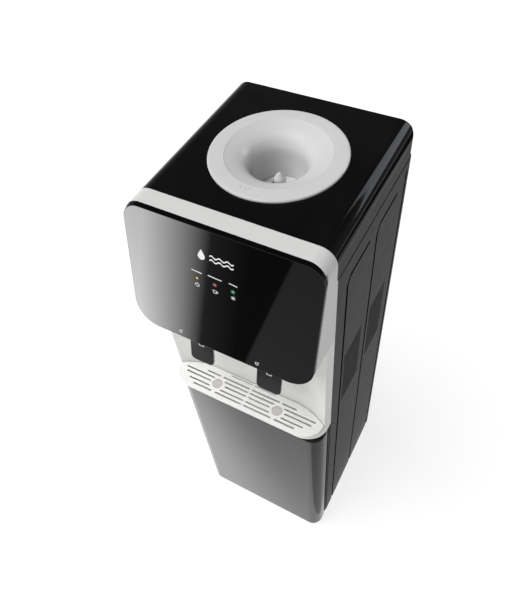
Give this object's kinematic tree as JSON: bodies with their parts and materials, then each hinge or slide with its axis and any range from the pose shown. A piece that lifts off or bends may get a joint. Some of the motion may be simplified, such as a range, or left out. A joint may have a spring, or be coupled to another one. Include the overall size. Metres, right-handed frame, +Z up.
{
  "type": "water dispenser",
  "caption": "Floor-standing bottled-water dispenser: bottle seat on top, leaning gloss panel, hot and cold finger taps over a drip tray, and a storage cupboard with a hinged door below.",
  "frame": {"origin": "on the floor under the middle of the dispenser's footprint", "axes": "+Z up, -Y the front with the taps and the cupboard door, +X to the viewer's right when facing the front"},
  "size_m": [0.302, 0.3664, 0.974],
  "materials": {
    "cover_black": "polished injection-moulded ABS",
    "panel_black": "mirror-gloss black",
    "key_black": "gloss",
    "head_white": "satin gloss",
    "tray_white": "fine satin",
    "disc_beige": "matt",
    "seat_white": "satin gloss",
    "cabinet_grey": "semi-matt powder coat",
    "dark_plastic": "matt",
    "door_grey": "gloss",
    "light_grey": "matt",
    "rubber": "matt",
    "silicone": "satin",
    "steel": "brushed",
    "zinc": "zinc plated",
    "aluminium": "extruded",
    "foam": "expanded bead foam",
    "ceramic": "unglazed",
    "circuit": "solder mask",
    "black_plastic": "fine texture",
    "amber_lens": "clear tinted",
    "red_lens": "clear tinted",
    "green_lens": "clear tinted"
  },
  "bodies": {
    "cabinet": {"top_cover": "cover_black", "front_panel": "panel_black", "head_housing": "head_white", "niche_housing": "tray_white", "tray_housing": "tray_white", "hot_tap_body": "seat_white", "cold_tap_body": "seat_white", "drain_outlet": "seat_white", "side_panel_left": "cabinet_grey", "side_panel_right": "cabinet_grey", "rear_panel": "cabinet_grey", "panel_backing": "dark_plastic", "storage_liner": "dark_plastic", "foot_front_left": "rubber", "foot_front_right": "rubber", "foot_rear_left": "rubber", "foot_rear_right": "rubber", "cord_gland": "rubber", "hot_water_tube": "silicone", "cold_water_tube": "silicone", "cold_tank": "steel", "hot_tank": "steel", "hot_valve_spring": "steel", "cold_valve_spring": "steel", "hot_lever_pin": "steel", "cold_lever_pin": "steel", "base_plate": "zinc", "hinge_bracket_top": "zinc", "hinge_bracket_bottom": "zinc", "heater_band": "zinc", "heat_sink": "aluminium", "tank_insulation": "foam", "peltier_module": "ceramic", "indicator_board": "circuit", "power_board": "circuit", "magnet_catch": "black_plastic", "fan_frame": "black_plastic", "switch_plate": "black_plastic", "hot_thermostat": "black_plastic", "led_power": "amber_lens", "led_heating": "red_lens", "led_cooling": "green_lens"},
    "hot_lever": {"hot_lever": "seat_white", "hot_lever_pad": "key_black"},
    "cold_lever": {"cold_lever": "seat_white", "cold_lever_pad": "key_black"},
    "hot_valve": {"hot_valve_stem": "silicone"},
    "cold_valve": {"cold_valve_stem": "silicone"},
    "door": {"door_panel": "door_grey", "door_liner": "light_grey"},
    "drip_tray": {"drip_basin": "tray_white"},
    "drip_grille": {"drip_grille": "tray_white", "grille_disc_left": "disc_beige", "grille_disc_right": "disc_beige"},
    "bottle_seat": {"bottle_seat": "seat_white", "feed_spike": "seat_white"},
    "heating_switch": {"heating_switch": "black_plastic"},
    "cooling_switch": {"cooling_switch": "black_plastic"},
    "fan_rotor": {"fan_rotor": "black_plastic"},
    "drain_cap": {"drain_cap": "black_plastic"}
  },
  "joints": [
    {"name": "hot_lever_press", "type": "hinge", "parent": "cabinet", "child": "hot_lever", "pos_m": [-0.063, -0.1368, 0.756], "axis": [1, 0, 0], "range_deg": [0, 8], "stiffness_Nm_per_rad": 0.25, "springref_deg": -17.19},
    {"name": "hot_valve_lift", "type": "slide", "parent": "cabinet", "child": "hot_valve", "axis": [0, 0, 1], "range_m": [0, 0.002], "deforming": ["hot_valve_spring"]},
    {"name": "cold_lever_press", "type": "hinge", "parent": "cabinet", "child": "cold_lever", "pos_m": [0.063, -0.1368, 0.756], "axis": [1, 0, 0], "range_deg": [0, 8], "stiffness_Nm_per_rad": 0.25, "springref_deg": -17.19},
    {"name": "cold_valve_lift", "type": "slide", "parent": "cabinet", "child": "cold_valve", "axis": [0, 0, 1], "range_m": [0, 0.002], "deforming": ["cold_valve_spring"]},
    {"name": "door_swing", "type": "hinge", "parent": "cabinet", "child": "door", "pos_m": [-0.141, -0.1248, 0.258], "axis": [0, 0, -1], "range_deg": [0, 110]},
    {"name": "drip_tray_lift", "type": "slide", "parent": "cabinet", "child": "drip_tray", "axis": [0, 0, 1], "range_m": [0, 0.05]},
    {"name": "drip_grille_lift", "type": "slide", "parent": "drip_tray", "child": "drip_grille", "axis": [0, 0, 1], "range_m": [0, 0.03]},
    {"name": "bottle_seat_twist", "type": "hinge", "parent": "cabinet", "child": "bottle_seat", "pos_m": [0, 0.0292, 0.96], "axis": [0, 0, 1], "range_deg": [0, 25]},
    {"name": "heating_rocker", "type": "hinge", "parent": "cabinet", "child": "heating_switch", "pos_m": [0.068, 0.1652, 0.659], "axis": [-1, 0, 0], "range_deg": [0, 16]},
    {"name": "cooling_rocker", "type": "hinge", "parent": "cabinet", "child": "cooling_switch", "pos_m": [0.092, 0.1652, 0.659], "axis": [-1, 0, 0], "range_deg": [0, 16]},
    {"name": "fan_spin", "type": "hinge", "parent": "cabinet", "child": "fan_rotor", "pos_m": [0, 0.1512, 0.812], "axis": [0, 1, 0], "continuous": true},
    {"name": "drain_cap_pull", "type": "slide", "parent": "cabinet", "child": "drain_cap", "axis": [0, 1, 0], "range_m": [0, 0.015]}
  ],
  "couplings": [
    {"joint": "hot_valve_lift", "follows": "hot_lever_press", "m_per_rad": 0.014},
    {"joint": "cold_valve_lift", "follows": "cold_lever_press", "m_per_rad": 0.014}
  ]
}
